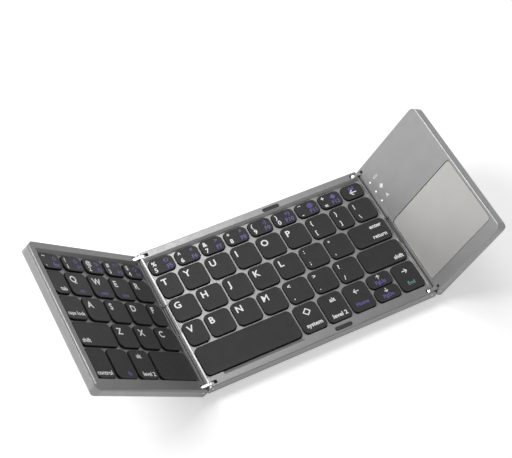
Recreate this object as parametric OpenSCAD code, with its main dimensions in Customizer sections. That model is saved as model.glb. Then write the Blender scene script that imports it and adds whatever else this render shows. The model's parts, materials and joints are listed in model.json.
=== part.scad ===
// Three-panel folding keyboard, posed half open on a table.
// The middle panel lies flat; a keyed panel folds up on the left, a touchpad panel on the right.
// Origin: middle of the middle panel, on the table. X runs right, Y runs to the rear, Z up.

/* [Whole keyboard] */
// Middle panel, hinge edge to hinge edge
centre_w = 152; // [130:1:190]
// Left panel, hinge edge to outer edge
left_w = 88.5; // [72:0.5:100]
// Every panel, front to rear
body_d = 97.4; // [90:0.2:125]
// Every panel, underside to rim top
body_t = 7.6; // [7.4:0.1:10]
// Outer corners seen from above
corner_r = 5; // [2:0.5:9]
// Gap between the two side panels when both are folded in
seam_gap = 0.8; // [0.5:0.1:2]
// How far the left panel is folded up, 0 is flat
left_fold = 42; // [0:1:88]
// How far the right panel is folded up, 0 is flat
right_fold = 60; // [0:1:88]

/* [Shells and decks] */
// Floor of each bottom shell
floor_t = 1; // [0.8:0.1:1.4]
// Side walls of each bottom shell
wall_t = 1.2; // [1:0.1:1.6]
// Plate between the keys
deck_t = 0.8; // [0.6:0.1:1]
// How far the deck lies below the rim
deck_drop = 1.8; // [1.5:0.1:2]
// Top plate of the touchpad panel
top_plate_t = 1.2; // [1:0.1:1.6]
// Rim in front of and behind the keys
rim_d = 6.6; // [6.4:0.1:9]
// Rim between the hinge edge and the keys of the middle panel
centre_hinge_rim = 2.2; // [2:0.1:3]
// Rim between the hinge edge and the keys of the left panel
left_hinge_rim = 3.5; // [3:0.1:5]
// Rim between the keys and the outer edge of the left panel
outer_rim = 3.6; // [3:0.1:6]
// Slope on the rear rim, from its top down to the deck
rear_slope = 1.8; // [0.5:0.1:2]
// Width of the thumb relief in front of the space key
relief_d = 2.2; // [1:0.1:3]
// Length of the thumb relief
relief_l = 52; // [20:1:60]

/* [Keys] */
// Spacing of the letter keys, both ways
key_pitch = 17.2; // [15:0.1:17.8]
// Spacing of the number keys
number_pitch = 16.4; // [14:0.1:16.8]
// Depth of the number row
number_row_d = 11.9; // [10:0.1:14]
// Gap between two keycaps
key_gap = 1.36; // [1:0.01:2]
// Corners of a keycap
key_corner_r = 3.3; // [1:0.1:4]
// Height of the keycap's top above the deck
key_h = 1.2; // [0.8:0.1:1.2]
// Keycap, top to lower edge
key_depth = 2.4; // [2.2:0.1:2.4]
// How far a key travels
key_travel = 1.2; // [0.8:0.1:1.2]
// Clearance round a keycap in the deck
key_clear = 0.2; // [0.15:0.01:0.3]

/* [Hinges] */
// Radius of the hinge edges, and depth of the pins below the rim
edge_r = 3; // [2.8:0.1:3.2]
// Gap between the panels at the hinge, flat or folded
fold_gap = 0.3; // [0.2:0.05:0.5]
// Radius of the hinge pins
pin_r = 0.9; // [0.7:0.05:1]
// Running clearance of a pin in its link
pin_clear = 0.05; // [0.02:0.01:0.08]
// Thickness of a hinge link
link_t = 1.8; // [1.4:0.1:2]
// Wall outside each hinge link
ear_t = 1.85; // [1.5:0.05:2]
// Clearance beside a hinge link
link_clear = 0.15; // [0.1:0.01:0.25]
// Length of the cable cover in the seam
cover_l = 20; // [12:1:30]

/* [Feet] */
// Height of the rubber feet on the rear strip
foot_h = 0.6; // [0.4:0.1:1]
// Height of the raised strip under the rear edge
strip_h = 0.6; // [0.4:0.1:1]
// Length of a foot
foot_l = 12; // [8:0.5:16]
// Width of a foot
foot_w = 2.7; // [2:0.1:3.5]

/* [Touchpad] */
// Touchpad, away from the hinge
pad_w = 56.4; // [40:0.2:56.8]
// Touchpad, front to rear
pad_d = 46.2; // [36:0.2:60]
// Front edge of the panel to the touchpad
pad_front = 8.6; // [8:0.1:16]
// How far the touchpad lies below the top plate
pad_drop = 0.25; // [0.1:0.05:0.4]

/* [Hidden] */
$fn = 48;
// Overshoot of every cut past the face it opens
e = 1;
// Clearance between pieces that are put together and stay together
snug = 0.1;

// Heights above the table
bottom_z = foot_h + strip_h;
floor_z = bottom_z + floor_t;
rim_z = bottom_z + body_t;
deck_z = rim_z - deck_drop;
key_z = deck_z + key_h;
pin_z = rim_z - edge_r;

// Lengths that follow from the driving ones
link_l = 2 * edge_r + fold_gap;
pin_x = centre_w / 2 - edge_r;
right_w = centre_w - left_w - seam_gap;
half_d = body_d / 2;
field_y = half_d - rim_d;
link_y = half_d - ear_t - link_t / 2;
notch_y0 = link_y - link_t / 2 - link_clear;
notch_y1 = link_y + link_t / 2 + link_clear;

// Edge rounding of the panels
top_edge_r = 0.8;
low_edge_r = 2.2;

// Hinge details
link_inset = 0.3;
link_r = edge_r - link_inset;
swing_room = 0.7;
notch_reach = link_r + swing_room;
ear_wall = 1.2;
ear_rib = 0.6;
ear_y = field_y + ear_rib;
bore_clear = 0.02;
pin_inset = 0.2;

// Cable cover: a plate that stands between the two hinge edges
cover_t = 0.9;
cover_gap = 0.4;
cover_clear = 0.3;
cover_down = 3.2;
cover_up = 0.6;
recess_x = (link_l - cover_t) / 2 - cover_gap;
recess_r = (link_l - cover_t) / 2 - cover_clear;
recess_reach = cover_up + 2 * snug;
slot_h = 0.8;
flex_w = 12;
slot_w = flex_w + 1.2;
flex_t = 0.25;
flex_end = 2.4;

// Stack inside the keyed panels
membrane_t = 0.8;
membrane_z = floor_z + membrane_t;
dome_base_t = 0.3;
dome_base_z = membrane_z + dome_base_t;
flex_up = 0.4;
flex_z = dome_base_z + flex_up;
sheet_edge = 1;
key_wall = 1;
key_top_t = 0.9;
cap_inner_r = 0.2;
dome_r = 2.4;
dome_top_r = 1.2;
dome_top_h = 1;
dome_room = 0.2;
dome_z = key_z - key_travel - key_top_t - snug;
scissor_h = 2.1;
scissor_bar = 1;
scissor_max = 9;
scissor_room = 0.7;

// Screws, one under each foot, and the bosses that take them
screw_r = 0.7;
screw_head_r = 1.2;
screw_head_h = 0.5;
boss_r = 1.75;
foot_edge = 4.6;
foot_corner_r = 1.3;
centre_foot_x = 14;
side_foot_in = 11;

// Strip under the rear edge
strip_w = 7.6;
strip_edge = 1;
strip_end = 2.5;

// Folding pads on the rim of the middle panel
fold_pad_l = 11.6;
fold_pad_w = 2.6;
fold_pad_up = 0.2;
fold_pad_sink = 0.3;
fold_pad_edge = 3.1;
fold_pad_x = left_w + seam_gap / 2 - centre_w / 2;

// Thumb relief, counted from the start of the key field
relief_x = 10;

// Touchpad panel contents
pad_t = 0.8;
pad_board_t = 0.8;
pad_board_edge = 1;
pad_hinge = 1.2;
pad_corner_r = 2.2;
hollow_edge = 1;
hollow_wall = 2;
board_t = 0.7;
board_edge = 2;
board_front = 4;
board_rear = 0.5;
battery_l = 40;
battery_d = 34;
battery_t = 3;
battery_x = 6;
battery_y = -20;
battery_r = 1;
port_w = 8.9;
port_h = 3.2;
port_l = 7.3;
port_x = 30;
port_lip = 0.7;
port_back = 1;
tongue_edge = 1.2;
lens_r = 0.6;
lens_pitch = 7.4;
lens_first_y = 36.1;
lens_x = 3.6;

// Key rows from rear to front: each list holds the widths of all keys but the last,
// which fills the row, counted from the left on the middle panel
row_y = [field_y, field_y - number_row_d, field_y - number_row_d - key_pitch,
         field_y - number_row_d - 2 * key_pitch, field_y - number_row_d - 3 * key_pitch, -field_y];
function same(width, count) = [for (i = [1:count]) width];
bottom_pitch = 16.7;
space_w = 63.4;
centre_rows = [
    concat([17.1], same(number_pitch, 7)),
    concat([14.3], same(key_pitch, 6), [13.4]),
    concat([17.5], same(key_pitch, 6)),
    concat([14.2], same(key_pitch, 6)),
    concat([space_w], same(bottom_pitch, 3), [17.4])
];
// The same for the left panel, counted from its hinge
left_rows = [
    concat([15.7], same(number_pitch, 3)),
    concat([16.6], same(key_pitch, 3)),
    concat([13], same(key_pitch, 3)),
    same(key_pitch, 3),
    concat([32.2], same(bottom_pitch, 2))
];
centre_field = [centre_hinge_rim - centre_w / 2, centre_w / 2 - centre_hinge_rim];
left_field = [left_hinge_rim - edge_r, left_w - edge_r - outer_rim];
// The arrow column that is split into an upper and a lower key
split_key = 4;
split_gap = 0.4;

function sum_to(list, n) = n == 0 ? 0 : list[n - 1] + sum_to(list, n - 1);
function key_count(rows, row) = len(rows[row]) + 1;
// Left and right side of one key's place
function place_x(rows, field, row, key) =
    [field[0] + sum_to(rows[row], key),
     key == len(rows[row]) ? field[1] : field[0] + sum_to(rows[row], key + 1)];
// One keycap as [left, right, front, rear]
function cap(rows, field, row, key) =
    let (x = place_x(rows, field, row, key))
    [x[0] + key_gap / 2, x[1] - key_gap / 2, row_y[row + 1] + key_gap / 2, row_y[row] - key_gap / 2];
function upper_half(c) = [c[0], c[1], (c[2] + c[3] + split_gap) / 2, c[3]];
function lower_half(c) = [c[0], c[1], c[2], (c[2] + c[3] - split_gap) / 2];

function caps_in_row(rows, field, row, from, to) =
    [for (key = [from:to]) cap(rows, field, row, key)];
split_place = cap(centre_rows, centre_field, 4, split_key);
centre_caps = [
    for (row = [0:4], key = [0:key_count(centre_rows, row) - 1])
        if (!(row == 4 && key == split_key)) cap(centre_rows, centre_field, row, key),
    upper_half(split_place), lower_half(split_place)
];
left_caps = [for (row = [0:4], key = [0:key_count(left_rows, row) - 1])
    cap(left_rows, left_field, row, key)];

// Rectangle whose corners are rounded one by one, in the order
// lower left, lower right, upper right, upper left
module round_rect(x0, y0, x1, y1, radii) {
    corners = [[x0, y0, 0], [x1, y0, 90], [x1, y1, 180], [x0, y1, 270]];
    difference() {
        translate([x0, y0]) square([x1 - x0, y1 - y0]);
        for (i = [0:3]) if (radii[i] > 0)
            translate([corners[i][0], corners[i][1]]) rotate(corners[i][2]) difference() {
                translate([-e, -e]) square(radii[i] + e);
                translate([radii[i], radii[i]]) circle(radii[i]);
            }
    }
}

module slab(x0, x1, y0, y1, z0, z1, r = 0) {
    translate([0, 0, z0]) linear_extrude(z1 - z0) round_rect(x0, y0, x1, y1, [r, r, r, r]);
}

// Bar with fully rounded ends, lying along X
module stadium(length, width) {
    translate([-(length - width) / 2, -width / 2]) square([length - width, width]);
    for (side = [-1, 1]) translate([side * (length - width) / 2, 0]) circle(width / 2);
}

// Outer form of a panel that reaches from x0 to x1, with a rounded hinge edge at
// x0, and at x1 too when both_hinged
module panel_form(x0, x1, both_hinged) {
    far_top = both_hinged ? edge_r : top_edge_r;
    far_corner = both_hinged ? 0 : corner_r;
    intersection() {
        translate([0, 0, bottom_z]) linear_extrude(body_t)
            round_rect(x0, -half_d, x1, half_d, [0, far_corner, far_corner, 0]);
        rotate([90, 0, 0]) linear_extrude(body_d + 2 * e, center = true)
            round_rect(x0, bottom_z, x1, rim_z, [low_edge_r, low_edge_r, far_top, edge_r]);
        rotate([90, 0, 90]) translate([0, 0, x0 - e]) linear_extrude(x1 - x0 + 2 * e)
            round_rect(-half_d, bottom_z, half_d, rim_z,
                       [low_edge_r, low_edge_r, top_edge_r, top_edge_r]);
    }
}

// Everything between two heights
module layer(z0, z1) {
    translate([-centre_w, -body_d, z0]) cube([2 * centre_w, 2 * body_d, z1 - z0]);
}

module front_and_rear() {
    children();
    mirror([0, 1, 0]) children();
}

// Hinge frames: the pin of a hinge end lies at x = 0 and the panel at +x.
module centre_left_end() {
    translate([-pin_x, 0, 0]) children();
}

module centre_right_end() {
    mirror([1, 0, 0]) centre_left_end() children();
}

module side_frame(fold) {
    translate([-pin_x - link_l, 0, pin_z]) rotate([0, fold, 0])
        mirror([1, 0, 0]) translate([0, 0, -pin_z]) children();
}

module on_left() {
    side_frame(left_fold) children();
}

module on_right() {
    mirror([1, 0, 0]) side_frame(right_fold) children();
}

// Blocks in the shell that hold the pins on both sides of each link
module hinge_ears() {
    front_and_rear()
        slab(-edge_r, notch_reach + ear_wall, ear_y, half_d, bottom_z, deck_z);
}

// Room for the ears in the deck, which lies over them
module ear_room() {
    front_and_rear()
        slab(-edge_r - e, notch_reach + ear_wall + snug, ear_y - snug, half_d + e,
             bottom_z, deck_z);
}

// Openings in which the links swing
module link_notches() {
    front_and_rear()
        slab(-edge_r - e, notch_reach, notch_y0, notch_y1, pin_z - link_r - link_clear, rim_z + e);
}

module pin_bores() {
    front_and_rear()
        translate([0, half_d + e, pin_z]) rotate([90, 0, 0])
            cylinder(r = pin_r + bore_clear, h = half_d + e - ear_y + snug);
}

// Set-back of the hinge edge in the middle of the seam, and the slot for the flex cable
module cable_recess() {
    rotate([90, 0, 0]) linear_extrude(cover_l + 2 * link_clear, center = true) difference() {
        translate([-edge_r - e, pin_z - cover_down - 2 * link_clear])
            square([edge_r + e + recess_reach, rim_z]);
        translate([0, pin_z]) circle(recess_r);
        square([edge_r, pin_z + recess_r]);
        translate([-recess_x, 0]) square([edge_r, pin_z]);
    }
    slab(-edge_r - e, 0, -slot_w / 2, slot_w / 2, flex_z - slot_h / 2, flex_z + slot_h / 2);
}

module hinge_end_cuts() {
    link_notches();
    pin_bores();
    cable_recess();
}

// Hinge hardware of one seam, seen from the middle panel's pin, with the side panel at -x
module hinge_links() {
    color("gainsboro") front_and_rear()
        translate([-link_l / 2, link_y, pin_z]) rotate([90, 0, 0])
            linear_extrude(link_t, center = true) difference() {
                stadium(link_l + 2 * link_r, 2 * link_r);
                for (side = [-1, 1])
                    translate([side * link_l / 2, 0]) circle(pin_r + pin_clear);
            }
}

module hinge_pins() {
    color("silver") front_and_rear()
        translate([0, half_d - pin_inset, pin_z]) rotate([90, 0, 0])
            cylinder(r = pin_r, h = half_d - ear_y - 2 * pin_inset);
}

module cable_cover() {
    color("dimgray") difference() {
        slab(-(link_l + cover_t) / 2, -(link_l - cover_t) / 2, -cover_l / 2, cover_l / 2,
             pin_z - cover_down, pin_z + cover_up);
        slab(-link_l, 0, -slot_w / 2, slot_w / 2, flex_z - slot_h / 2, flex_z + slot_h / 2);
    }
}

// A point of the folded side panel, at x from its pin and at the cable's height,
// seen from the middle panel's pin
function side_point(x, fold) =
    let (down = pin_z - flex_z)
    [-link_l - x * cos(fold) - down * sin(fold), pin_z + x * sin(fold) - down * cos(fold)];

// Flat strip through a row of points
module ribbon(points) {
    for (i = [0:len(points) - 2]) {
        step = points[i + 1] - points[i];
        translate(points[i]) rotate(atan2(step[1], step[0]))
            translate([0, -flex_t / 2]) square([norm(step), flex_t]);
        translate(points[i + 1]) circle(flex_t / 2);
    }
}

module flex_cable(fold) {
    cover_exit = -link_l / 2 - cover_t;
    color("saddlebrown") rotate([90, 0, 0]) linear_extrude(flex_w, center = true)
        ribbon([[flex_end, flex_z], [cover_exit, flex_z],
                side_point(-edge_r, fold), side_point(flex_end, fold)]);
}

// Rows of feet, as [x, y, top]: front feet are taller by the strip
function foot_places(xs) =
    [for (x = xs, side = [-1, 1])
        [x, side * (half_d - foot_edge), side < 0 ? bottom_z : foot_h]];
centre_feet_at = foot_places([-centre_w / 2 + centre_foot_x, centre_w / 2 - centre_foot_x]);
left_feet_at = foot_places([side_foot_in - edge_r, left_w - edge_r - side_foot_in]);
right_feet_at = foot_places([side_foot_in - edge_r, right_w - edge_r - side_foot_in]);

module feet(places) {
    color([0.12, 0.12, 0.13]) for (p = places)
        translate([p[0], p[1], 0]) linear_extrude(p[2]) stadium(foot_l, foot_w);
}

module screws(places) {
    color("silver") for (p = places) translate([p[0], p[1], p[2] + snug]) {
        cylinder(r = screw_head_r, h = screw_head_h);
        cylinder(r = screw_r, h = deck_z - deck_t - p[2] - 2 * snug);
    }
}

// Holes for the screws in the shell's floor
module screw_holes(places) {
    for (p = places) translate([p[0], p[1], p[2] - e]) {
        cylinder(r = screw_head_r + snug, h = e + 2 * snug + screw_head_h);
        cylinder(r = screw_r + snug, h = body_t);
    }
}

// Bosses that hang from the deck or top plate down to the floor
module bosses(places, top) {
    for (p = places) translate([p[0], p[1], floor_z]) difference() {
        cylinder(r = boss_r, h = top - floor_z);
        translate([0, 0, -e])
            cylinder(r = screw_r + bore_clear, h = deck_z - deck_t - floor_z + e);
    }
}

// Bottom shell of a panel from x0 to x1
module bottom_shell(x0, x1, both_hinged, places) {
    color([0.62, 0.63, 0.64]) difference() {
        union() {
            intersection() {
                panel_form(x0, x1, both_hinged);
                layer(bottom_z, deck_z);
            }
            slab(x0 + strip_end, x1 - strip_end, half_d - strip_edge - strip_w,
                 half_d - strip_edge, foot_h, bottom_z + floor_t / 2, corner_r - strip_edge);
        }
        difference() {
            slab(x0 + wall_t, x1 - wall_t, -half_d + wall_t, half_d - wall_t,
                 floor_z, deck_z + e, both_hinged ? 0 : corner_r - wall_t);
            translate([x0 + edge_r, 0, 0]) hinge_ears();
            if (both_hinged) translate([x1 - edge_r, 0, 0]) mirror([1, 0, 0]) hinge_ears();
        }
        translate([x0 + edge_r, 0, 0]) hinge_end_cuts();
        if (both_hinged) translate([x1 - edge_r, 0, 0]) mirror([1, 0, 0]) hinge_end_cuts();
        screw_holes(places);
    }
}

// Rim and inner plate of a panel, before its openings are cut
module cover_blank(x0, x1, both_hinged, plate_t, places) {
    difference() {
        union() {
            intersection() {
                panel_form(x0, x1, both_hinged);
                layer(deck_z, rim_z);
            }
            slab(x0 + wall_t + snug, x1 - wall_t - snug,
                 -half_d + wall_t + snug, half_d - wall_t - snug,
                 deck_z - plate_t, deck_z, both_hinged ? 0 : corner_r - wall_t - snug);
            bosses(places, deck_z);
        }
        translate([x0 + edge_r, 0, 0]) {
            ear_room();
            hinge_end_cuts();
        }
        if (both_hinged) translate([x1 - edge_r, 0, 0]) mirror([1, 0, 0]) {
            ear_room();
            hinge_end_cuts();
        }
    }
}

// Sunken key field with the slope of the rear rim
module field_pocket(field) {
    slab(field[0] - snug, field[1] + snug, -field_y - snug, field_y + snug, deck_z, rim_z + e);
    rotate([90, 0, 90]) translate([0, 0, field[0] - snug])
        linear_extrude(field[1] - field[0] + 2 * snug)
            polygon([[field_y, deck_z], [field_y + rear_slope, rim_z],
                     [field_y + rear_slope, rim_z + e], [field_y, rim_z + e]]);
}

function cap_r(c) = min(key_corner_r, (c[1] - c[0]) / 2 - snug, (c[3] - c[2]) / 2 - snug);

module key_openings(caps) {
    for (c = caps)
        slab(c[0] - key_clear, c[1] + key_clear, c[2] - key_clear, c[3] + key_clear,
             deck_z - deck_t - e, deck_z + e, cap_r(c) + key_clear);
}

// Sloped relief in the front rim, where the thumbs reach the space key
module thumb_relief() {
    rotate([90, 0, 90]) translate([0, 0, centre_field[0] + relief_x]) linear_extrude(relief_l)
        polygon([[-field_y, deck_z], [-field_y - relief_d, rim_z],
                 [-field_y - relief_d, rim_z + e], [-field_y, rim_z + e]]);
}

module fold_pad_places() {
    front_and_rear() translate([fold_pad_x, half_d - fold_pad_edge, 0]) children();
}

// Keycaps: hollow from below
module keycaps(caps) {
    color([0.2, 0.2, 0.21]) for (c = caps) difference() {
        slab(c[0], c[1], c[2], c[3], key_z - key_depth, key_z, cap_r(c));
        slab(c[0] + key_wall, c[1] - key_wall, c[2] + key_wall, c[3] - key_wall,
             key_z - key_depth - e, key_z - key_top_t, max(cap_r(c) - key_wall, cap_inner_r));
    }
}

function scissor_size(c) =
    min(scissor_max, min(c[1] - c[0], c[3] - c[2]) - 2 * (key_wall + scissor_room));

module scissor_frames(caps) {
    color("whitesmoke") for (c = caps) {
        size = scissor_size(c);
        translate([(c[0] + c[1]) / 2, (c[2] + c[3]) / 2, dome_base_z])
            linear_extrude(scissor_h) difference() {
                square(size, center = true);
                square(size - 2 * scissor_bar, center = true);
            }
    }
}

// Flat sheet that fills the key field inside the panel
module key_sheet(field, z0, z1) {
    slab(field[0] + sheet_edge, field[1] - sheet_edge,
         -field_y + sheet_edge, field_y - sheet_edge, z0, z1);
}

// Silicone sheet with a dome under every key, shown at pressed height
module dome_sheet(field, caps) {
    color([0.75, 0.76, 0.78]) {
        key_sheet(field, membrane_z, dome_base_z);
        for (c = caps) {
            r = min(dome_r, scissor_size(c) / 2 - scissor_bar - dome_room);
            translate([(c[0] + c[1]) / 2, (c[2] + c[3]) / 2, membrane_z]) {
                cylinder(r = r, h = dome_z - membrane_z - dome_top_h);
                cylinder(r = min(r, dome_top_r), h = dome_z - membrane_z);
            }
        }
    }
}

module switch_membrane(field) {
    color("darkseagreen") key_sheet(field, floor_z, membrane_z);
}

// Middle panel
module centre_bottom_shell() {
    bottom_shell(-centre_w / 2, centre_w / 2, true, centre_feet_at);
}

module centre_key_deck() {
    color([0.6, 0.61, 0.62]) difference() {
        cover_blank(-centre_w / 2, centre_w / 2, true, deck_t, centre_feet_at);
        field_pocket(centre_field);
        key_openings(centre_caps);
        thumb_relief();
        fold_pad_places() translate([0, 0, rim_z - fold_pad_sink])
            linear_extrude(fold_pad_sink + e) stadium(fold_pad_l, fold_pad_w);
    }
}

module folding_pads() {
    color([0.16, 0.16, 0.17]) fold_pad_places()
        translate([0, 0, rim_z - fold_pad_sink]) linear_extrude(fold_pad_sink + fold_pad_up)
            stadium(fold_pad_l - 2 * snug, fold_pad_w - 2 * snug);
}

module centre_switch_membrane() { switch_membrane(centre_field); }
module centre_dome_sheet() { dome_sheet(centre_field, centre_caps); }
module centre_scissor_frames() { scissor_frames(centre_caps); }
module centre_screws() { screws(centre_feet_at); }
module centre_feet() { feet(centre_feet_at); }

// Left panel
module left_bottom_shell() {
    on_left() bottom_shell(-edge_r, left_w - edge_r, false, left_feet_at);
}

module left_key_deck() {
    color([0.42, 0.43, 0.44]) on_left() difference() {
        cover_blank(-edge_r, left_w - edge_r, false, deck_t, left_feet_at);
        field_pocket(left_field);
        key_openings(left_caps);
    }
}

module left_switch_membrane() { on_left() switch_membrane(left_field); }
module left_dome_sheet() { on_left() dome_sheet(left_field, left_caps); }
module left_scissor_frames() { on_left() scissor_frames(left_caps); }
module left_screws() { on_left() screws(left_feet_at); }
module left_feet() { on_left() feet(left_feet_at); }

// Right panel, whose top plate closes the whole panel
pad_x = [pad_hinge, pad_hinge + pad_w];
pad_y = [-half_d + pad_front, -half_d + pad_front + pad_d];
pad_top = rim_z - pad_drop;
pad_base = pad_top - pad_t;
board_z = floor_z + board_t;
port_z = board_z + port_h / 2;

module right_bottom_shell() {
    on_right() difference() {
        bottom_shell(-edge_r, right_w - edge_r, false, right_feet_at);
        port_opening();
    }
}

// Mouth of the charging port in the rear wall
module port_opening() {
    translate([port_x, half_d + e, port_z]) rotate([90, 0, 0])
        linear_extrude(wall_t + 2 * e) stadium(port_w + 2 * snug, port_h + 2 * snug);
}

// Room above the charging port in the top plate
module port_room() {
    slab(port_x - port_w / 2 - snug, port_x + port_w / 2 + snug, half_d - port_l - 3 * snug,
         half_d - wall_t - snug, floor_z, board_z + port_h + snug);
}

module right_top_plate() {
    color([0.6, 0.61, 0.62]) on_right() difference() {
        cover_blank(-edge_r, right_w - edge_r, false, deck_t, right_feet_at);
        // hollow under the plate, inside the rim
        slab(wall_t + snug, right_w - edge_r - wall_t - hollow_wall,
             -field_y + hollow_edge, field_y - hollow_edge, deck_z - deck_t - e, rim_z - top_plate_t);
        port_room();
        slab(pad_x[0] - snug, pad_x[1] + snug, pad_y[0] - snug, pad_y[1] + snug,
             deck_z - deck_t - e, rim_z + e, pad_corner_r + snug);
        indicators() cylinder(r = lens_r + bore_clear, h = body_t);
    }
}

module touchpad() {
    color([0.72, 0.71, 0.7]) on_right()
        slab(pad_x[0], pad_x[1], pad_y[0], pad_y[1], pad_base, pad_top, pad_corner_r);
}

module touchpad_board() {
    color("darkgreen") on_right()
        slab(pad_x[0] + pad_board_edge, pad_x[1] - pad_board_edge,
             pad_y[0] + pad_board_edge, pad_y[1] - pad_board_edge,
             pad_base - pad_board_t, pad_base);
}

module battery() {
    color("lightslategray") on_right()
        slab(pad_x[0] + battery_x, pad_x[0] + battery_x + battery_l, battery_y - battery_d / 2,
             battery_y + battery_d / 2, floor_z, floor_z + battery_t, battery_r);
}

module main_circuit_board() {
    color("seagreen") on_right()
        slab(pad_x[0] + board_edge, pad_x[1] - board_edge,
             pad_y[1] + board_front, field_y - board_rear, floor_z, board_z);
}

// Metal sleeve with its contact tongue
module charging_port() {
    color("silver") on_right() translate([port_x, half_d - 2 * snug, port_z]) rotate([90, 0, 0]) {
        linear_extrude(port_l) difference() {
            stadium(port_w, port_h);
            stadium(port_w - port_lip, port_h - port_lip);
        }
        translate([0, 0, port_l - port_back]) linear_extrude(port_back) stadium(port_w, port_h);
        translate([tongue_edge - port_w / 2, -port_lip / 2, port_back])
            cube([port_w - 2 * tongue_edge, port_lip, port_l - port_back]);
    }
}

module indicators() {
    for (i = [0:2])
        translate([lens_x, lens_first_y - i * lens_pitch, rim_z - top_plate_t]) children();
}

module indicator_lenses() {
    color("white") on_right() indicators() cylinder(r = lens_r, h = top_plate_t);
}

module right_screws() { on_right() screws(right_feet_at); }
module right_feet() { on_right() feet(right_feet_at); }

// Seams
module left_hinge_links() { centre_left_end() hinge_links(); }
module left_inner_pins() { centre_left_end() hinge_pins(); }
module left_outer_pins() { on_left() hinge_pins(); }
module left_cable_cover() { centre_left_end() cable_cover(); }
module left_flex_cable() { centre_left_end() flex_cable(left_fold); }
module right_hinge_links() { centre_right_end() hinge_links(); }
module right_inner_pins() { centre_right_end() hinge_pins(); }
module right_outer_pins() { on_right() hinge_pins(); }
module right_cable_cover() { centre_right_end() cable_cover(); }
module right_flex_cable() { centre_right_end() flex_cable(right_fold); }

// Keys by row: rows count from the rear, keys from the left on the middle panel
// and from the hinge on the left panel
module centre_keys(row, from, to) {
    keycaps(caps_in_row(centre_rows, centre_field, row, from, to));
}

module left_keys(row, from, to) {
    on_left() keycaps(caps_in_row(left_rows, left_field, row, from, to));
}

centre_bottom_shell();
centre_key_deck();
centre_switch_membrane();
centre_dome_sheet();
centre_scissor_frames();
centre_screws();
centre_feet();
folding_pads();
left_bottom_shell();
left_key_deck();
left_switch_membrane();
left_dome_sheet();
left_scissor_frames();
left_screws();
left_feet();
right_bottom_shell();
right_top_plate();
touchpad();
touchpad_board();
battery();
main_circuit_board();
charging_port();
indicator_lenses();
right_screws();
right_feet();
left_hinge_links();
left_inner_pins();
left_outer_pins();
left_cable_cover();
left_flex_cable();
right_hinge_links();
right_inner_pins();
right_outer_pins();
right_cable_cover();
right_flex_cable();
left_keys(0, 0, 4);  // left_number_keys
left_keys(1, 0, 3);  // left_upper_keys
left_keys(2, 0, 3);  // left_home_keys
left_keys(3, 0, 2);  // left_lower_keys
left_keys(1, 4, 4);  // tab_key
left_keys(2, 4, 4);  // caps_lock_key
left_keys(3, 3, 3);  // left_shift_key
left_keys(4, 3, 3);  // control_key
left_keys(4, 2, 2);  // function_key
left_keys(4, 1, 1);  // left_alt_key
left_keys(4, 0, 0);  // left_space_key
centre_keys(0, 0, 7);  // centre_number_keys
centre_keys(0, 8, 8);  // backspace_key
centre_keys(1, 0, 8);  // centre_upper_keys
centre_keys(2, 0, 6);  // centre_home_keys
centre_keys(2, 7, 7);  // enter_key
centre_keys(3, 0, 6);  // centre_lower_keys
centre_keys(3, 7, 7);  // right_shift_key
centre_keys(4, 0, 0);  // space_key
centre_keys(4, 1, 1);  // menu_key
centre_keys(4, 2, 2);  // right_alt_key
centre_keys(4, 3, 3);  // left_arrow_key
keycaps([upper_half(split_place)]);  // up_arrow_key
keycaps([lower_half(split_place)]);  // down_arrow_key
centre_keys(4, 5, 5);  // right_arrow_key
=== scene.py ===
import json
import math

import bmesh
import bpy
from mathutils import Matrix, Vector

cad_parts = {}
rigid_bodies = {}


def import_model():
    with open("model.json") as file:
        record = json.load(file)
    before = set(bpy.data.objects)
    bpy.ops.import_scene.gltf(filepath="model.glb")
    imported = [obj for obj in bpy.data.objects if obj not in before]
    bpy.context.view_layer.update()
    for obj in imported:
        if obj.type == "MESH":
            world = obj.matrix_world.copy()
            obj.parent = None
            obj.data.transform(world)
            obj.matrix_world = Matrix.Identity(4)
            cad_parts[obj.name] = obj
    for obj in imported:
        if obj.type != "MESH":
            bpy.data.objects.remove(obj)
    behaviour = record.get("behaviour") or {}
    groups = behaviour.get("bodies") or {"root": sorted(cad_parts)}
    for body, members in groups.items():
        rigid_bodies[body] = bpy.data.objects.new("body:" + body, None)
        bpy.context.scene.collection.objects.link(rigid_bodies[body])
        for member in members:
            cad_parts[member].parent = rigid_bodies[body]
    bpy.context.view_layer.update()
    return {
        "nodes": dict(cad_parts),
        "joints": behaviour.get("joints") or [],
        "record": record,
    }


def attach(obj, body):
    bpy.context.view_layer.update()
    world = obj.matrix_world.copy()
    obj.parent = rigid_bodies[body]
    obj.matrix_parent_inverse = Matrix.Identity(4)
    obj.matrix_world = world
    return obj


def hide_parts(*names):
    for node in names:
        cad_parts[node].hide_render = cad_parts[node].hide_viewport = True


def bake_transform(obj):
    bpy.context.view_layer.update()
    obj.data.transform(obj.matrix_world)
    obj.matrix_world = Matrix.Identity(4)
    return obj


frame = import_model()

# Blender's unit is the metre
MM = 0.001

# Width of the rounding on the edges of each kind of piece
METAL_EDGE = 0.11 * MM
PAD_EDGE = 0.3 * MM
LINK_EDGE = 0.22 * MM
RUBBER_EDGE = 0.18 * MM

# Corners of a mesh nearer than this are one, faces that differ less than the first angle are
# one flat face, and an edge sharper than the second angle is a sharp one
WELD = 0.001 * MM
FLAT_ANGLE = math.radians(0.5)
SMOOTH_ANGLE = math.radians(32)

# The key field reaches this far beyond the outermost keycaps, and up to this far below their tops
FIELD_ROOM = 1.2 * MM
RIM_ROOM = 1.1 * MM


# Panels: everything is built as if the keyboard lay flat, then turned with its panel
def joint(name):
    return next(found for found in frame["joints"] if found["name"] == name)


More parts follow.
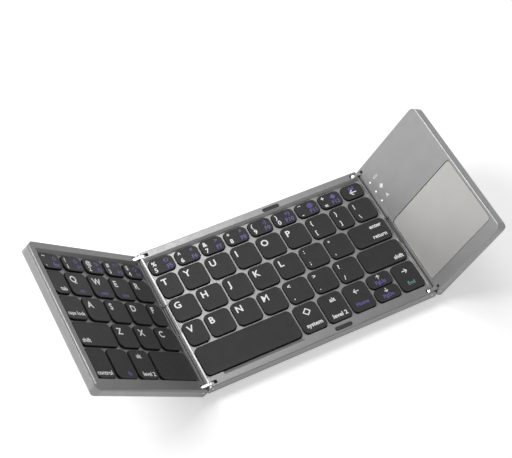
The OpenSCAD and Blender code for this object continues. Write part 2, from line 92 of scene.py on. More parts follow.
def fold_matrix(name):
    """Turns a flat side panel about its outer pin to where it stands at rest."""
    fold = joint(name)
    pin = Vector(fold["pos_m"])
    angle = -math.radians(fold["range_deg"][0])
    turn = Matrix.Rotation(angle, 4, Vector(fold["axis"]))
    return Matrix.Translation(pin) @ turn @ Matrix.Translation(-pin)


FOLDS = {
    "centre": Matrix.Identity(4),
    "left": fold_matrix("left_panel_fold"),
    "right": fold_matrix("right_panel_fold"),
}


def body_of(node):
    """The name of the body that a CAD node is part of."""
    bodies = frame["record"]["behaviour"]["bodies"]
    return next(body for body, members in bodies.items() if node in members)


def cad_mesh(node, fold):
    """A copy of a CAD node's mesh, with its corners joined and laid flat."""
    bm = bmesh.new()
    bm.from_mesh(frame["nodes"][node].data)
    bmesh.ops.remove_doubles(bm, verts=bm.verts, dist=WELD)
    bm.transform(FOLDS[fold].inverted())
    return bm


def loose_boxes(node, fold):
    """The box of each separate solid of a CAD node, laid flat, from left to right."""
    bm = cad_mesh(node, fold)
    waiting = set(bm.verts)
    boxes = []
    while waiting:
        group = [waiting.pop()]
        for vert in group:
            for edge in vert.link_edges:
                other = edge.other_vert(vert)
                if other in waiting:
                    waiting.remove(other)
                    group.append(other)
        low = [min(v.co[i] for v in group) for i in range(3)]
        high = [max(v.co[i] for v in group) for i in range(3)]
        boxes.append((Vector(low), Vector(high)))
    bm.free()
    return sorted(boxes, key=lambda box: box[0].x)


def finish_piece(name, bm, fold, body, materials):
    """Turns a flat mesh into a piece, which rides on its body if it is given one."""
    bm.transform(FOLDS[fold])
    mesh = bpy.data.meshes.new(name)
    bm.to_mesh(mesh)
    bm.free()
    for face in mesh.polygons:
        face.use_smooth = True
    mesh.set_sharp_from_angle(angle=SMOOTH_ANGLE)
    for item in materials:
        mesh.materials.append(item)
    piece = bpy.data.objects.new(name, mesh)
    bpy.context.scene.collection.objects.link(piece)
    if body:
        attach(piece, body)
    return piece


# Strength with which large faces decide a corner's normal, at its most
LARGE_FACES_LEAD = 100


def soften(piece, width, segments=2):
    """Rounds the marked edges of a piece, and keeps its large faces flat in the light."""
    bevel = piece.modifiers.new("edge", "BEVEL")
    bevel.width = width
    bevel.segments = segments
    bevel.limit_method = "WEIGHT"
    bevel.use_clamp_overlap = False
    bevel.harden_normals = True
    even = piece.modifiers.new("normals", "WEIGHTED_NORMAL")
    even.keep_sharp = True
    even.weight = LARGE_FACES_LEAD


def in_key_field(point, fold):
    """Whether a point of a flat panel lies among or under the keys, where no edge shows."""
    low, high = KEY_FIELDS[fold]
    return (low.x - FIELD_ROOM < point.x < high.x + FIELD_ROOM
            and low.y - FIELD_ROOM < point.y < high.y + FIELD_ROOM and point.z < high.z - RIM_ROOM)


def mark_sharp_edges(bm, fold):
    """Marks the sharp outward edges for the edge rounding, apart from those under the keys."""
    weight = bm.edges.layers.float.new("bevel_weight_edge")
    for edge in bm.edges:
        sharp = edge.is_convex and edge.calc_face_angle(0) > SMOOTH_ANGLE
        hidden = fold in KEY_FIELDS and all(in_key_field(v.co, fold) for v in edge.verts)
        edge[weight] = 1.0 if sharp and not hidden else 0.0


def softened_node(node, fold, width, item, segments=2):
    """Stands for a CAD node with the same shape and its sharp edges broken."""
    bm = cad_mesh(node, fold)
    bmesh.ops.dissolve_limit(bm, angle_limit=FLAT_ANGLE, verts=bm.verts, edges=bm.edges)
    mark_sharp_edges(bm, fold)
    piece = finish_piece(node + "_finish", bm, fold, body_of(node), [item])
    soften(piece, width, segments)
    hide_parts(node)
    return piece


# Materials: the colour sockets of a mix node, a noise's octaves and the range that most of its
# values lie in, and the blue of aluminium as a share of its red and green
COLOR_SOCKETS = (6, 7)
COLOR_RESULT = 2
NOISE_DETAIL = 3.0
NOISE_LOW = 0.3
NOISE_HIGH = 0.7
EVEN = (1, 1, 1)
ALUMINIUM_BLUE = 1.005


class Shader:
    """A principled material whose colour, roughness and bump come from noise."""

    def __init__(self, name, color, roughness, metallic=0.0):
        self.material = bpy.data.materials.new(name)
        self.material.use_nodes = True
        self.tree = self.material.node_tree
        self.bsdf = self.tree.nodes["Principled BSDF"]
        self.bsdf.inputs["Metallic"].default_value = metallic
        self.color = color
        self.roughness = roughness
        self.place = self.tree.nodes.new("ShaderNodeTexCoord").outputs["Object"]

    def set(self, name, value):
        self.bsdf.inputs[name].default_value = value

    def noise(self, grain, stretch=EVEN):
        """Noise whose grains are about this long, in metres."""
        mapping = self.tree.nodes.new("ShaderNodeMapping")
        mapping.inputs["Scale"].default_value = [s / grain for s in stretch]
        self.tree.links.new(self.place, mapping.inputs["Vector"])
        node = self.tree.nodes.new("ShaderNodeTexNoise")
        node.inputs["Scale"].default_value = 1.0
        node.inputs["Detail"].default_value = NOISE_DETAIL
        self.tree.links.new(mapping.outputs["Vector"], node.inputs["Vector"])
        return node.outputs["Fac"]

    def ranged(self, source, low, high):
        """The source's values, spread between low and high."""
        node = self.tree.nodes.new("ShaderNodeMapRange")
        node.inputs["From Min"].default_value = NOISE_LOW
        node.inputs["From Max"].default_value = NOISE_HIGH
        node.inputs["To Min"].default_value = low
        node.inputs["To Max"].default_value = high
        self.tree.links.new(source, node.inputs["Value"])
        return node.outputs["Result"]

    def mixed(self, factor, first, second):
        """The first colour where the factor is 0 and the second where it is 1."""
        node = self.tree.nodes.new("ShaderNodeMix")
        node.data_type = "RGBA"
        for socket, value in zip(COLOR_SOCKETS, (first, second)):
            node.inputs[socket].default_value = (*value, 1)
        self.tree.links.new(factor, node.inputs[0])
        return node.outputs[COLOR_RESULT]

    def finish(self, tint, tint_grain, rough, rough_grain, bump, bump_grain, bump_height,
               stretch=EVEN):
        """Links the noises and returns the material.

        The colour varies by tint and the roughness by rough, and the bumps stand bump_height
        high and show with strength bump. Each has the length of its grains.
        """
        low = [c * (1 - tint) for c in self.color]
        high = [min(1, c * (1 + tint)) for c in self.color]
        factor = self.ranged(self.noise(tint_grain, stretch=stretch), 0, 1)
        self.tree.links.new(self.mixed(factor, low, high), self.bsdf.inputs["Base Color"])
        level = self.ranged(self.noise(rough_grain), self.roughness - rough, self.roughness + rough)
        self.tree.links.new(level, self.bsdf.inputs["Roughness"])
        node = self.tree.nodes.new("ShaderNodeBump")
        node.inputs["Strength"].default_value = bump
        node.inputs["Distance"].default_value = bump_height
        self.tree.links.new(self.noise(bump_grain, stretch=stretch), node.inputs["Height"])
        self.tree.links.new(node.outputs["Normal"], self.bsdf.inputs["Normal"])
        return self.material


def anodised(name, level):
    """Fine-blasted anodised aluminium."""
    shader = Shader(name, (level, level, level * ALUMINIUM_BLUE), 0.38, 0.6)
    return shader.finish(tint=0.03, tint_grain=9 * MM, rough=0.04, rough_grain=2.5 * MM,
                         bump=0.28, bump_grain=0.13 * MM, bump_height=0.012 * MM)


def keycap_plastic():
    """Soft-touch charcoal plastic with a fine texture."""
    shader = Shader("keycap_plastic", (0.037, 0.037, 0.0375), 0.5)
    shader.set("Specular IOR Level", 0.2)
    return shader.finish(tint=0.07, tint_grain=5 * MM, rough=0.05, rough_grain=1.6 * MM,
                         bump=0.22, bump_grain=0.16 * MM, bump_height=0.01 * MM)


def keycap_side_painted_shade():
    """Near-black glossier side of a cap, below its printed top, darker than the top as painted
    shade.
    """
    shader = Shader("keycap_side_painted_shade", (0.008, 0.008, 0.0085), 0.45)
    shader.set("Specular IOR Level", 0.15)
    return shader.finish(tint=0.15, tint_grain=3 * MM, rough=0.06, rough_grain=1.2 * MM,
                         bump=0.2, bump_grain=0.2 * MM, bump_height=0.008 * MM)


def ink(name, color):
    """Printed legend ink, a little uneven."""
    shader = Shader(name, color, 0.55)
    return shader.finish(tint=0.04, tint_grain=0.8 * MM, rough=0.05, rough_grain=0.5 * MM,
                         bump=0.15, bump_grain=0.1 * MM, bump_height=0.004 * MM)


def touch_surface():
    """Satin coated touch surface, brighter and smoother than the housing."""
    shader = Shader("touch_surface", (0.5, 0.49, 0.475), 0.32, 0.5)
    shader.set("Coat Weight", 0.2)
    shader.set("Coat Roughness", 0.3)
    return shader.finish(tint=0.02, tint_grain=14 * MM, rough=0.03, rough_grain=3 * MM,
                         bump=0.12, bump_grain=0.08 * MM, bump_height=0.006 * MM)


def plated_steel():
    """Bright plated steel of the links and pins."""
    shader = Shader("plated_steel", (0.86, 0.86, 0.87), 0.2, 1.0)
    return shader.finish(tint=0.05, tint_grain=1.2 * MM, rough=0.08, rough_grain=0.6 * MM,
                         bump=0.2, bump_grain=0.3 * MM, bump_height=0.01 * MM)


def rubber():
    shader = Shader("rubber", (0.035, 0.035, 0.037), 0.72)
    return shader.finish(tint=0.2, tint_grain=1.5 * MM, rough=0.08, rough_grain=0.8 * MM,
                         bump=0.4, bump_grain=0.14 * MM, bump_height=0.02 * MM)


def plain_plastic(name, color, roughness=0.5):
    shader = Shader(name, color, roughness)
    return shader.finish(tint=0.08, tint_grain=4 * MM, rough=0.06, rough_grain=1.5 * MM,
                         bump=0.2, bump_grain=0.2 * MM, bump_height=0.01 * MM)


def circuit_board():
    """Green solder mask over copper tracks."""
    shader = Shader("circuit_board", (0.02, 0.12, 0.05), 0.35)
    return shader.finish(tint=0.35, tint_grain=1.4 * MM, rough=0.08, rough_grain=1 * MM,
                         bump=0.4, bump_grain=0.5 * MM, bump_height=0.03 * MM,
                         stretch=(1, 4, 1))


def battery_foil():
    shader = Shader("battery_foil", (0.5, 0.52, 0.55), 0.34, 0.8)
    return shader.finish(tint=0.06, tint_grain=6 * MM, rough=0.08, rough_grain=2 * MM,
                         bump=0.5, bump_grain=1.6 * MM, bump_height=0.05 * MM)


def light_pipe():
    """White diffusing light pipe of an indicator that is lit."""
    shader = Shader("light_pipe", (0.9, 0.92, 0.95), 0.35)
    shader.set("Emission Color", (1, 1, 1, 1))
    shader.set("Emission Strength", 0.5)
    return shader.finish(tint=0.02, tint_grain=0.5 * MM, rough=0.05, rough_grain=0.3 * MM,
                         bump=0.1, bump_grain=0.1 * MM, bump_height=0.004 * MM)


SILVER = anodised("anodised_silver", 0.32)
# A darker copy of the silver, which paints shade on the tilted left key deck
SILVER_SHADED = anodised("anodised_grey", 0.21)
KEYCAP = keycap_plastic()
KEYCAP_SIDE_SHADE = keycap_side_painted_shade()
WHITE_INK = ink("white_ink", (0.86, 0.87, 0.89))
VIOLET_INK = ink("violet_ink", (0.13, 0.11, 0.34))
TEAL_INK = ink("teal_ink", (0.16, 0.28, 0.3))
TOUCH = touch_surface()
STEEL = plated_steel()
RUBBER = rubber()
# Dark plastic of the cable covers, also used as painted shade on the touchpad's edge
COVER_AND_PAD_SHADE = plain_plastic("cover_plastic", (0.13, 0.13, 0.135))
FILM = plain_plastic("flex_film", (0.2, 0.09, 0.03), 0.3)
MEMBRANE = plain_plastic("membrane", (0.38, 0.48, 0.4), 0.4)
SILICONE = plain_plastic("silicone", (0.5, 0.51, 0.53), 0.6)
SCISSOR = plain_plastic("scissor_plastic", (0.8, 0.8, 0.79), 0.5)
BOARD = circuit_board()
FOIL = battery_foil()
LIGHT_PIPE = light_pipe()


# Keycaps: radius of the corners, rounding of the top's edge and its steps, depth of the dish in
# the top and how far in it gets deeper, and thickness of the wall and of the top
CAP_CORNER = 3.3 * MM
CORNER_STEPS = 8
SMALLEST_CORNER = 0.05 * MM
CAP_EDGE = 0.4 * MM
EDGE_STEPS = 4
CAP_DISH = 0.11 * MM
CAP_DISH_REACH = 3.2 * MM
CAP_WALL = 1.0 * MM
CAP_TOP = 0.9 * MM

# Rings of the top, as distances in from its rounded edge, and the room left in its middle
TOP_RINGS = [share * MM for share in (0.35, 0.6, 0.85, 1.2, 1.7, 2.4, 3.2)]
TOP_MIDDLE = 0.3 * MM

# The inside, the side and most of the rounding are this many rings of faces, in the darker colour
# that paints shade on the cap's sides
SIDE_RINGS = 6


def rounded_outline(low, high, inset, corner):
    """Points round a rounded rectangle that is drawn in by inset."""
    x0, y0 = low.x + inset, low.y + inset
    x1, y1 = high.x - inset, high.y - inset
    radius = min(max(corner - inset, SMALLEST_CORNER), (x1 - x0) / 2, (y1 - y0) / 2)
    centres = [(x1 - radius, y1 - radius, 0), (x0 + radius, y1 - radius, 90),
               (x0 + radius, y0 + radius, 180), (x1 - radius, y0 + radius, 270)]
    points = []
    for cx, cy, start in centres:
        for i in range(CORNER_STEPS + 1):
            angle = math.radians(start + 90 * i / CORNER_STEPS)
            points.append((cx + radius * math.cos(angle), cy + radius * math.sin(angle)))
    return points


def dish(inset):
    """How far the cap's top is sunk at this distance from its edge."""
    reach = min(1, inset / CAP_DISH_REACH)
    return CAP_DISH * (1 - (1 - reach) ** 2)


def keycap(bm, low, high):
    """A hollow cap with rounded edges and a slightly dished top."""
    half = min(high.x - low.x, high.y - low.y) / 2
    corner = min(CAP_CORNER, half)
    rings = [(CAP_WALL, high.z - CAP_TOP), (CAP_WALL, low.z), (0, low.z)]
    for i in range(EDGE_STEPS + 1):
        angle = math.radians(90 * i / EDGE_STEPS)
        rings.append((CAP_EDGE * (1 - math.cos(angle)), high.z - CAP_EDGE * (1 - math.sin(angle))))
    for distance in TOP_RINGS:
        if CAP_EDGE + distance < half - TOP_MIDDLE:
            rings.append((CAP_EDGE + distance, high.z - dish(distance)))
    loops = []
    for inset, z in rings:
        outline = rounded_outline(low, high, inset, corner)
        loops.append([bm.verts.new((x, y, z)) for x, y in outline])
    for ring, (lower, upper) in enumerate(zip(loops, loops[1:])):
        for i in range(len(lower)):
            j = (i + 1) % len(lower)
            face = bm.faces.new((lower[i], lower[j], upper[j], upper[i]))
            # The side and most of the rounding take the darker colour: painted shade
            face.material_index = 1 if ring < SIDE_RINGS else 0
    bm.faces.new(list(reversed(loops[0])))
    bm.faces.new(loops[-1])


# Legends: the ink's thickness, a capital's share of the font's size, and how much heavier the
# letters are drawn, as a share of their height
LEGEND_T = 0.02 * MM
LETTER_SHARE = 0.686
LEGEND_WEIGHT = 0.034

# Heights of a capital on the caps, in mm
LETTER = 4.1
SIGN = 2.7
DIGIT = 2.9
NOTE = 2.6
WORD = 2.6
SMALL_WORD = 2.3

# Places in the list of inks
WHITE = 0
VIOLET = 1
TEAL = 2


# A legend is its text, the height of a capital, its place across from the left or right side or
# the middle, its place up or down from the top or low edge, and its ink, all lengths in mm
def letter(text):
    return [(text, LETTER, "left", 2.5, "top", 2.6, WHITE)]


def lettered(text, note):
    """A letter with a small word below it."""
    return letter(text) + [(note, SMALL_WORD, "middle", 0, "low", 2.0, VIOLET)]


def pair(upper, lower):
    """Two signs, one above the other."""
    return [(upper, SIGN, "left", 2.7, "top", 2.4, WHITE),
            (lower, SIGN, "left", 2.7, "low", 2.4, WHITE)]


def number(upper, lower, sign, note):
    """A sign above a digit, and a function's sign above its note."""
    return [(upper, DIGIT, "left", 2.2, "top", 1.5, WHITE),
            (lower, DIGIT, "left", 2.4, "low", 1.5, WHITE),
            (sign, NOTE, "right", 2.9, "top", 1.6, VIOLET),
            (note, NOTE, "right", 1.8, "low", 1.6, VIOLET)]


def word(text, side="right"):
    """A word low on the cap."""
    return [(text, WORD, side, 2.0, "low", 2.2, WHITE)]


LEGENDS = {
    "left_number_keys": [number("~", "`", "⌂", "Esc"), number("!", "1", "☼", "F1"),
                         number("@", "2", "☼", "F2"), number("#", "3", "▭", "F3"),
                         number("$", "4", "◇", "F4")],
    "left_upper_keys": [lettered("Q", "on"), lettered("W", "one"), lettered("E", "two"),
                        letter("R")],
    "left_home_keys": [letter(c) for c in "ASDF"],
    "left_lower_keys": [letter(c) for c in "ZXC"],
    "tab_key": [word("tab")],
    "caps_lock_key": [[("caps lock", SMALL_WORD, "right", 1.4, "low", 2.2, WHITE)]],
    "left_shift_key": [word("shift", "left")],
    "control_key": [word("control")],
    "function_key": [[("fn", WORD, "right", 4.0, "low", 2.2, VIOLET)]],
    "left_alt_key": [[("alt", WORD, "left", 5.0, "top", 2.6, WHITE),
                      ("level 2", WORD, "right", 2.0, "low", 2.2, WHITE)]],
    "left_space_key": [[]],
    "centre_number_keys": [number("%", "5", "⟲", "F5"), number("^", "6", "«", "F6"),
                           number("&", "7", ">", "F7"), number("*", "8", "»", "F8"),
                           number("(", "9", "-)", "F9"), number(")", "0", "+)", "F10"),
                           number("_", "-", "⚙", "F11"), number("+", "=", "◆", "F12")],
    "backspace_key": [[("←", 4.4, "middle", 0, "low", 2.4, WHITE),
                       ("del", SMALL_WORD, "middle", 0, "top", 1.6, VIOLET)]],
    "centre_upper_keys": [letter(c) for c in "TYUIOP"] + [pair("{", "["), pair("}", "]"),
                                                          pair("|", "\\")],
    "centre_home_keys": [letter(c) for c in "GHJKL"] + [pair(":", ";"), pair('"', "'")],
    "enter_key": [[("enter", WORD, "right", 3.0, "top", 3.2, WHITE),
                   ("return", WORD, "right", 3.0, "low", 3.0, WHITE)]],
    "centre_lower_keys": [letter(c) for c in "VBNM"] + [pair("<", ","), pair(">", "."),
                                                        pair("?", "/")],
    "right_shift_key": [word("shift")],
    "space_key": [[]],
    "menu_key": [[("◇", 3.6, "middle", 0, "top", 3.0, WHITE),
                  ("system", WORD, "right", 2.0, "low", 2.6, WHITE)]],
    "right_alt_key": [[("alt", WORD, "middle", 1.0, "top", 3.4, WHITE),
                       ("level 2", WORD, "right", 2.2, "low", 2.6, WHITE)]],
    "left_arrow_key": [[("←", 3.4, "middle", 0, "top", 4.0, WHITE),
                        ("Home", SMALL_WORD, "middle", 0, "low", 4.0, VIOLET)]],
    "up_arrow_key": [[("↑", 2.7, "middle", 0, "top", 1.1, WHITE),
                      ("PgUp", SMALL_WORD, "middle", 0, "low", 1.4, VIOLET)]],
    "down_arrow_key": [[("↓", 2.7, "middle", 0, "top", 1.1, WHITE),
                        ("PgDn", SMALL_WORD, "middle", 0, "low", 1.4, VIOLET)]],
    "right_arrow_key": [[("→", 3.4, "middle", 0, "top", 4.0, WHITE),
                         ("End", SMALL_WORD, "middle", 0, "low", 4.0, TEAL)]],
}


# The four arrows are one glyph, turned, and glyphs with narrow gaps get less weight
ARROW = "→"
ARROW_TURNS = {"→": 0, "↑": 90, "←": 180, "↓": 270}
FINE_SIGNS = "→☼*M"
FINE_WEIGHT = 0.02

# Steps in each curve of an outline, and the distance below which points of a legend are one
GLYPH_STEPS = 3
LEGEND_WELD = 0.0001 * MM


def text_mesh(text, size):
    """A closed mesh of the text, the lower left corner of its box, its width and its height."""
    glyph = ARROW if text in ARROW_TURNS else text
    curve = bpy.data.curves.new("text", "FONT")
    curve.body = glyph
    curve.size = size * MM / LETTER_SHARE
    curve.extrude = LEGEND_T / 2
    curve.offset = size * MM * (FINE_WEIGHT if glyph in FINE_SIGNS else LEGEND_WEIGHT)
    curve.resolution_u = GLYPH_STEPS
    holder = bpy.data.objects.new("text", curve)
    bpy.context.scene.collection.objects.link(holder)
    bpy.context.view_layer.update()
    depsgraph = bpy.context.evaluated_depsgraph_get()
    mesh = bpy.data.meshes.new_from_object(holder.evaluated_get(depsgraph))
    bpy.data.objects.remove(holder)
    bpy.data.curves.remove(curve)
    mesh.transform(Matrix.Rotation(math.radians(ARROW_TURNS.get(text, 0)), 4, "Z"))
    xs = [v.co.x for v in mesh.vertices]
    ys = [v.co.y for v in mesh.vertices]
    corner = Vector((min(xs), min(ys), 0))
    return mesh, corner, max(xs) - corner.x, max(ys) - corner.y


def place_legend(bm, low, high, mark):
    """Prints one legend on the cap's top, following its dish."""
    text, size, side, across, edge, along, ink_slot = mark
    mesh, corner, width, height = text_mesh(text, size)
    if side == "left":
        x = low.x + across * MM
    elif side == "right":
        x = high.x - across * MM - width
    else:
        x = (low.x + high.x - width) / 2 + across * MM
    y = high.y - along * MM - height if edge == "top" else low.y + along * MM
    verts_before = len(bm.verts)
    faces_before = len(bm.faces)
    mesh.transform(Matrix.Translation(Vector((x, y, 0)) - corner))
    bm.from_mesh(mesh)
    bpy.data.meshes.remove(mesh)
    bm.verts.ensure_lookup_table()
    bm.faces.ensure_lookup_table()
    for vert in bm.verts[verts_before:]:
        inset = min(vert.co.x - low.x, high.x - vert.co.x, vert.co.y - low.y, high.y - vert.co.y)
        vert.co.z += high.z - dish(max(0, inset - CAP_EDGE))
    for face in bm.faces[faces_before:]:
        face.material_index = ink_slot


def make_key(node, fold):
    """Makes the keycaps of a node, and their legends as a second piece."""
    caps = bmesh.new()
    marks = bmesh.new()
    for (low, high), legends in zip(loose_boxes(node, fold), LEGENDS[node]):
        keycap(caps, low, high)
        for mark in legends:
            place_legend(marks, low, high, mark)
    piece = finish_piece(node + "_cap", caps, fold, node, [KEYCAP, KEYCAP_SIDE_SHADE])
    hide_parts(node)
    if len(marks.verts) == 0:
        marks.free()
        return
    bmesh.ops.remove_doubles(marks, verts=marks.verts, dist=LEGEND_WELD)
    finish_piece(node + "_legend", marks, fold, node, [WHITE_INK, VIOLET_INK, TEAL_INK])


def panel_of(key_node):
    """The panel that a key is pressed into."""
    body = next(found["parent"] for found in frame["joints"] if found["child"] == key_node)
    return "left" if body == body_of("left_key_deck") else "centre"


def enclosing(boxes):
    """The box round all the boxes."""
    low = Vector([min(box[0][i] for box in boxes) for i in range(3)])
    high = Vector([max(box[1][i] for box in boxes) for i in range(3)])
    return low, high


KEY_BOXES = {"left": [], "centre": []}
for key_node in LEGENDS:
    key_panel = panel_of(key_node)
    make_key(key_node, key_panel)
    KEY_BOXES[key_panel] += loose_boxes(key_node, key_panel)
KEY_FIELDS = {panel: enclosing(boxes) for panel, boxes in KEY_BOXES.items()}


# Faces of a plate that lean further than this from its top, as a cosine, are its edge
TOP_LEAN = 0.5


def paint_edge_shade(piece, item):
    """Gives the rounding of a flat plate, and all below it, a dark colour as painted shade of the
    gap round the plate.
    """
    piece.data.materials.append(item)
    piece.modifiers["edge"].material = 1
    widest = max(piece.data.polygons, key=lambda face: face.area)
    for face in piece.data.polygons:
        face.material_index = 0 if face.normal.dot(widest.normal) > TOP_LEAN else 1


# Housings, touchpad, hinges and feet
for housing in ("centre_bottom_shell", "centre_key_deck"):
    softened_node(housing, "centre", METAL_EDGE, SILVER)
softened_node("left_bottom_shell", "left", METAL_EDGE, SILVER)
# The left key deck takes the darker copy of the silver: painted shade
softened_node("left_key_deck", "left", METAL_EDGE, SILVER_SHADED)
for housing in ("right_bottom_shell", "right_top_plate"):
    softened_node(housing, "right", METAL_EDGE, SILVER)
pad = softened_node("touchpad", "right", PAD_EDGE, TOUCH)
# The touchpad's rounded edge and sides take the dark plastic as painted shade of the gap round the
# pad
paint_edge_shade(pad, COVER_AND_PAD_SHADE)
for side in ("left", "right"):
    softened_node(side + "_hinge_links", "centre", LINK_EDGE, STEEL, segments=3)
    softened_node(side + "_inner_pins", "centre", METAL_EDGE, STEEL)
    softened_node(side + "_outer_pins", side, METAL_EDGE, STEEL)
    softened_node(side + "_cable_cover", "centre", METAL_EDGE, COVER_AND_PAD_SHADE)
    softened_node(side + "_feet", side, RUBBER_EDGE, RUBBER)
softened_node("centre_feet", "centre", RUBBER_EDGE, RUBBER)
softened_node("folding_pads", "centre", METAL_EDGE, RUBBER)

# CAD pieces that keep their shape
KEPT = {
    "centre_switch_membrane": MEMBRANE, "left_switch_membrane": MEMBRANE,
    "centre_dome_sheet": SILICONE, "left_dome_sheet": SILICONE,
    "centre_scissor_frames": SCISSOR, "left_scissor_frames": SCISSOR,
    "centre_screws": STEEL, "left_screws": STEEL, "right_screws": STEEL,
    "charging_port": STEEL, "touchpad_board": BOARD, "main_circuit_board": BOARD,
    "battery": FOIL, "indicator_lenses": LIGHT_PIPE,
}
for kept_node, finish in KEPT.items():
    mesh = frame["nodes"][kept_node].data
    mesh.materials.clear()
    mesh.materials.append(finish)


# Flex cables: each is cut in two in its link, and each half is cut across finely. The values are
# how far from a pin the cable leaves that pin's panel, and the cuts across each half.
FLEX_EXIT = 2.4 * MM
FLEX_STEP = 0.06 * MM
FLEX_CUTS = 80


def cut_across(bm, place, direction, **options):
    """Cuts all of a mesh with a plane."""
    everything = bm.verts[:] + bm.edges[:] + bm.faces[:]
    bmesh.ops.bisect_plane(bm, geom=everything, plane_co=place, plane_no=direction, **options)


def half_ribbon(node, middle, out):
    """The part of a flex cable on one side of the middle of its link, cut across finely."""
    bm = cad_mesh(node, "centre")
    away = Vector((out, 0, 0))
    cut_across(bm, middle, away, clear_inner=True)
    bmesh.ops.holes_fill(bm, edges=[edge for edge in bm.edges if edge.is_boundary])
    for i in range(1, FLEX_CUTS):
        cut_across(bm, middle + away * i * FLEX_STEP, away)
    return bm


def make_flex_cable(side):
    """Makes both halves, which meet in the middle of the link."""
    node = side + "_flex_cable"
    inner = Vector(joint(side + "_link_turn")["pos_m"])
    outer = Vector(joint(side + "_panel_fold")["pos_m"])
    out = math.copysign(1, outer.x - inner.x)
    middle = (inner + outer) / 2
    straight = half_ribbon(node, middle, -out)
    below = Vector((0, 0, min(vert.co.z for vert in straight.verts) - inner.z))
    room = Vector((FLEX_EXIT * out, 0, 0))
    entry = FOLDS[side] @ (outer - room + below)
    halves = [("_inner_half", straight, "centre_panel", side + "_link", inner + room, middle),
              ("_outer_half", half_ribbon(node, middle, out), side + "_link", side + "_panel",
               middle + below, entry)]
    for ending, bm, first, second, start, end in halves:
        piece = finish_piece(node + ending, bm, "centre", None, [FILM])
        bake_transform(piece)
        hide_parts(node)


for side in ("left", "right"):
    make_flex_cable(side)


# Marks beside the indicators, from the rear: their size, in mm, and their distance from the light
INDICATOR_MARKS = ("▭", "◆", "A")
MARK = 2.4
MARK_STEP = 5.6 * MM


def make_indicator_marks():
    """Prints one mark beside each indicator light."""
    bm = bmesh.new()
    lenses = sorted(loose_boxes("indicator_lenses", "right"), key=lambda box: -box[0].y)
    for (low, high), text in zip(lenses, INDICATOR_MARKS):
        mesh, corner, width, height = text_mesh(text, MARK)
        centre = (low + high) / 2
        place = Vector((centre.x + MARK_STEP - width / 2, centre.y - height / 2, high.z))
        mesh.transform(Matrix.Translation(place - corner))
        bm.from_mesh(mesh)
        bpy.data.meshes.remove(mesh)
    finish_piece("indicator_marks", bm, "right", "right_panel", [WHITE_INK])


make_indicator_marks()


# Floor, light and camera
def looked_at(tree):
    """1 where the camera or a reflection looks, else 0."""
    path = tree.nodes.new("ShaderNodeLightPath")
    seen = path.outputs["Is Camera Ray"]
    for name in ("Is Glossy Ray", "Is Transmission Ray"):
        either = tree.nodes.new("ShaderNodeMath")
        either.operation = "MAXIMUM"
        tree.links.new(seen, either.inputs[0])
        tree.links.new(path.outputs[name], either.inputs[1])
        seen = either.outputs[0]
    return seen


def white_to_camera(tree, plain, strength):
    """Adds a glow to the plain shader where the camera or a reflection looks."""
    seen = looked_at(tree)
    glow = tree.nodes.new("ShaderNodeEmission")
    glow.inputs["Strength"].default_value = strength
    added = tree.nodes.new("ShaderNodeAddShader")
    tree.links.new(plain, added.inputs[0])
    tree.links.new(glow.outputs[0], added.inputs[1])
    mix = tree.nodes.new("ShaderNodeMixShader")
    tree.links.new(seen, mix.inputs[0])
    tree.links.new(plain, mix.inputs[1])
    tree.links.new(added.outputs[0], mix.inputs[2])
    return mix.outputs[0]


FLOOR_SIZE = 6.0
FLOOR_CELLS = 8
FLOOR_COLOR = 0.8
FLOOR_ROUGHNESS = 0.9
FLOOR_SHINE = 0.1
FLOOR_GLOW = 0.44


def make_floor():
    bm = bmesh.new()
    bmesh.ops.create_grid(bm, x_segments=FLOOR_CELLS, y_segments=FLOOR_CELLS, size=FLOOR_SIZE / 2)
    mesh = bpy.data.meshes.new("floor")
    bm.to_mesh(mesh)
    bm.free()
    floor = bpy.data.objects.new("floor", mesh)
    bpy.context.scene.collection.objects.link(floor)
    paper = bpy.data.materials.new("floor_paper")
    paper.use_nodes = True
    tree = paper.node_tree
    bsdf = tree.nodes["Principled BSDF"]
    bsdf.inputs["Base Color"].default_value = (FLOOR_COLOR, FLOOR_COLOR, FLOOR_COLOR, 1)
    bsdf.inputs["Roughness"].default_value = FLOOR_ROUGHNESS
    bsdf.inputs["Specular IOR Level"].default_value = FLOOR_SHINE
    output = tree.nodes["Material Output"]
    tree.links.new(white_to_camera(tree, bsdf.outputs[0], FLOOR_GLOW), output.inputs["Surface"])
    mesh.materials.append(paper)


# The surroundings: their light on the object, and how they look to the camera and in reflections,
# which is white up to a height in degrees and a share of white straight overhead
WORLD_LEVEL = 0.3
WHITE_UP_TO = 12
OVERHEAD_LEVEL = 0.03


def height_level(tree):
    """1 up to a low height, and less from there to straight overhead."""
    place = tree.nodes.new("ShaderNodeTexCoord")
    split = tree.nodes.new("ShaderNodeSeparateXYZ")
    tree.links.new(place.outputs["Generated"], split.inputs[0])
    level = tree.nodes.new("ShaderNodeMapRange")
    level.inputs["From Min"].default_value = math.sin(math.radians(WHITE_UP_TO))
    level.inputs["From Max"].default_value = 1.0
    level.inputs["To Min"].default_value = 1.0
    level.inputs["To Max"].default_value = OVERHEAD_LEVEL
    tree.links.new(split.outputs["Z"], level.inputs["Value"])
    return level.outputs["Result"]


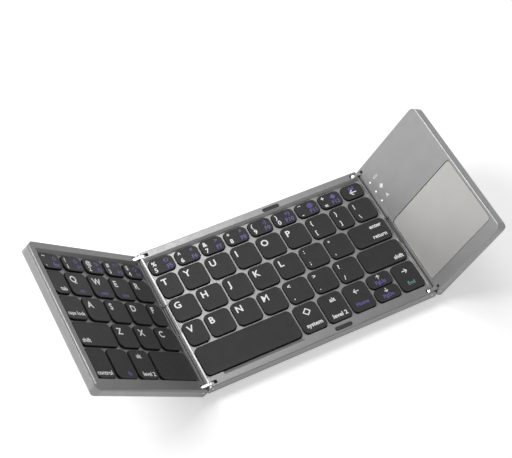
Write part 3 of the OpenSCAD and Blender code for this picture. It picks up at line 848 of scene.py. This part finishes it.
def make_world():
    world = bpy.data.worlds.new("studio")
    bpy.context.scene.world = world
    world.use_nodes = True
    tree = world.node_tree
    plain = tree.nodes["Background"]
    plain.inputs["Color"].default_value = (1, 1, 1, 1)
    plain.inputs["Strength"].default_value = WORLD_LEVEL
    seen = tree.nodes.new("ShaderNodeBackground")
    seen.inputs["Color"].default_value = (1, 1, 1, 1)
    tree.links.new(height_level(tree), seen.inputs["Strength"])
    mix = tree.nodes.new("ShaderNodeMixShader")
    tree.links.new(looked_at(tree), mix.inputs[0])
    tree.links.new(plain.outputs[0], mix.inputs[1])
    tree.links.new(seen.outputs[0], mix.inputs[2])
    tree.links.new(mix.outputs[0], tree.nodes["World Output"].inputs["Surface"])


def direction(azimuth, elevation):
    """From the object towards a place; azimuth 0 is in front and 90 on its right."""
    a = math.radians(azimuth)
    e = math.radians(elevation)
    return Vector((math.sin(a) * math.cos(e), -math.cos(a) * math.cos(e), math.sin(e)))


def area_light(name, azimuth, elevation, distance, size, power):
    """A round soft lamp that points at the object."""
    light = bpy.data.lights.new(name, "AREA")
    light.shape = "DISK"
    light.size = size
    light.energy = power
    lamp = bpy.data.objects.new(name, light)
    towards = direction(azimuth, elevation)
    lamp.location = towards * distance
    lamp.rotation_euler = towards.to_track_quat("Z", "Y").to_euler()
    bpy.context.scene.collection.objects.link(lamp)


make_floor()
make_world()
area_light("key_light", azimuth=238, elevation=42, distance=0.8, size=0.35, power=3.8)
area_light("rear_light", azimuth=176, elevation=56, distance=0.7, size=0.35, power=1.5)

# Camera of the photograph: its place, its heading, dip below level and roll in degrees, its lens
# and sensor in mm, and how far it sees in metres
CAMERA_PLACE = Vector((-238.4, -300.6, 616.9)) * MM
CAMERA_HEADING = 35.05
CAMERA_DIP = 55.98
CAMERA_ROLL = 9.07
CAMERA_LENS = 85.0
SENSOR_WIDTH = 36
CAMERA_REACH = 20


def make_camera():
    camera = bpy.data.cameras.new("camera")
    camera.lens = CAMERA_LENS
    camera.sensor_width = SENSOR_WIDTH
    camera.clip_end = CAMERA_REACH
    holder = bpy.data.objects.new("camera", camera)
    heading = Matrix.Rotation(-math.radians(CAMERA_HEADING), 4, "Z")
    dip = Matrix.Rotation(math.radians(90 - CAMERA_DIP), 4, "X")
    roll = Matrix.Rotation(math.radians(CAMERA_ROLL), 4, "Z")
    holder.matrix_world = Matrix.Translation(CAMERA_PLACE) @ heading @ dip @ roll
    bpy.context.scene.collection.objects.link(holder)
    bpy.context.scene.camera = holder


make_camera()
bpy.context.scene.view_settings.view_transform = "Standard"
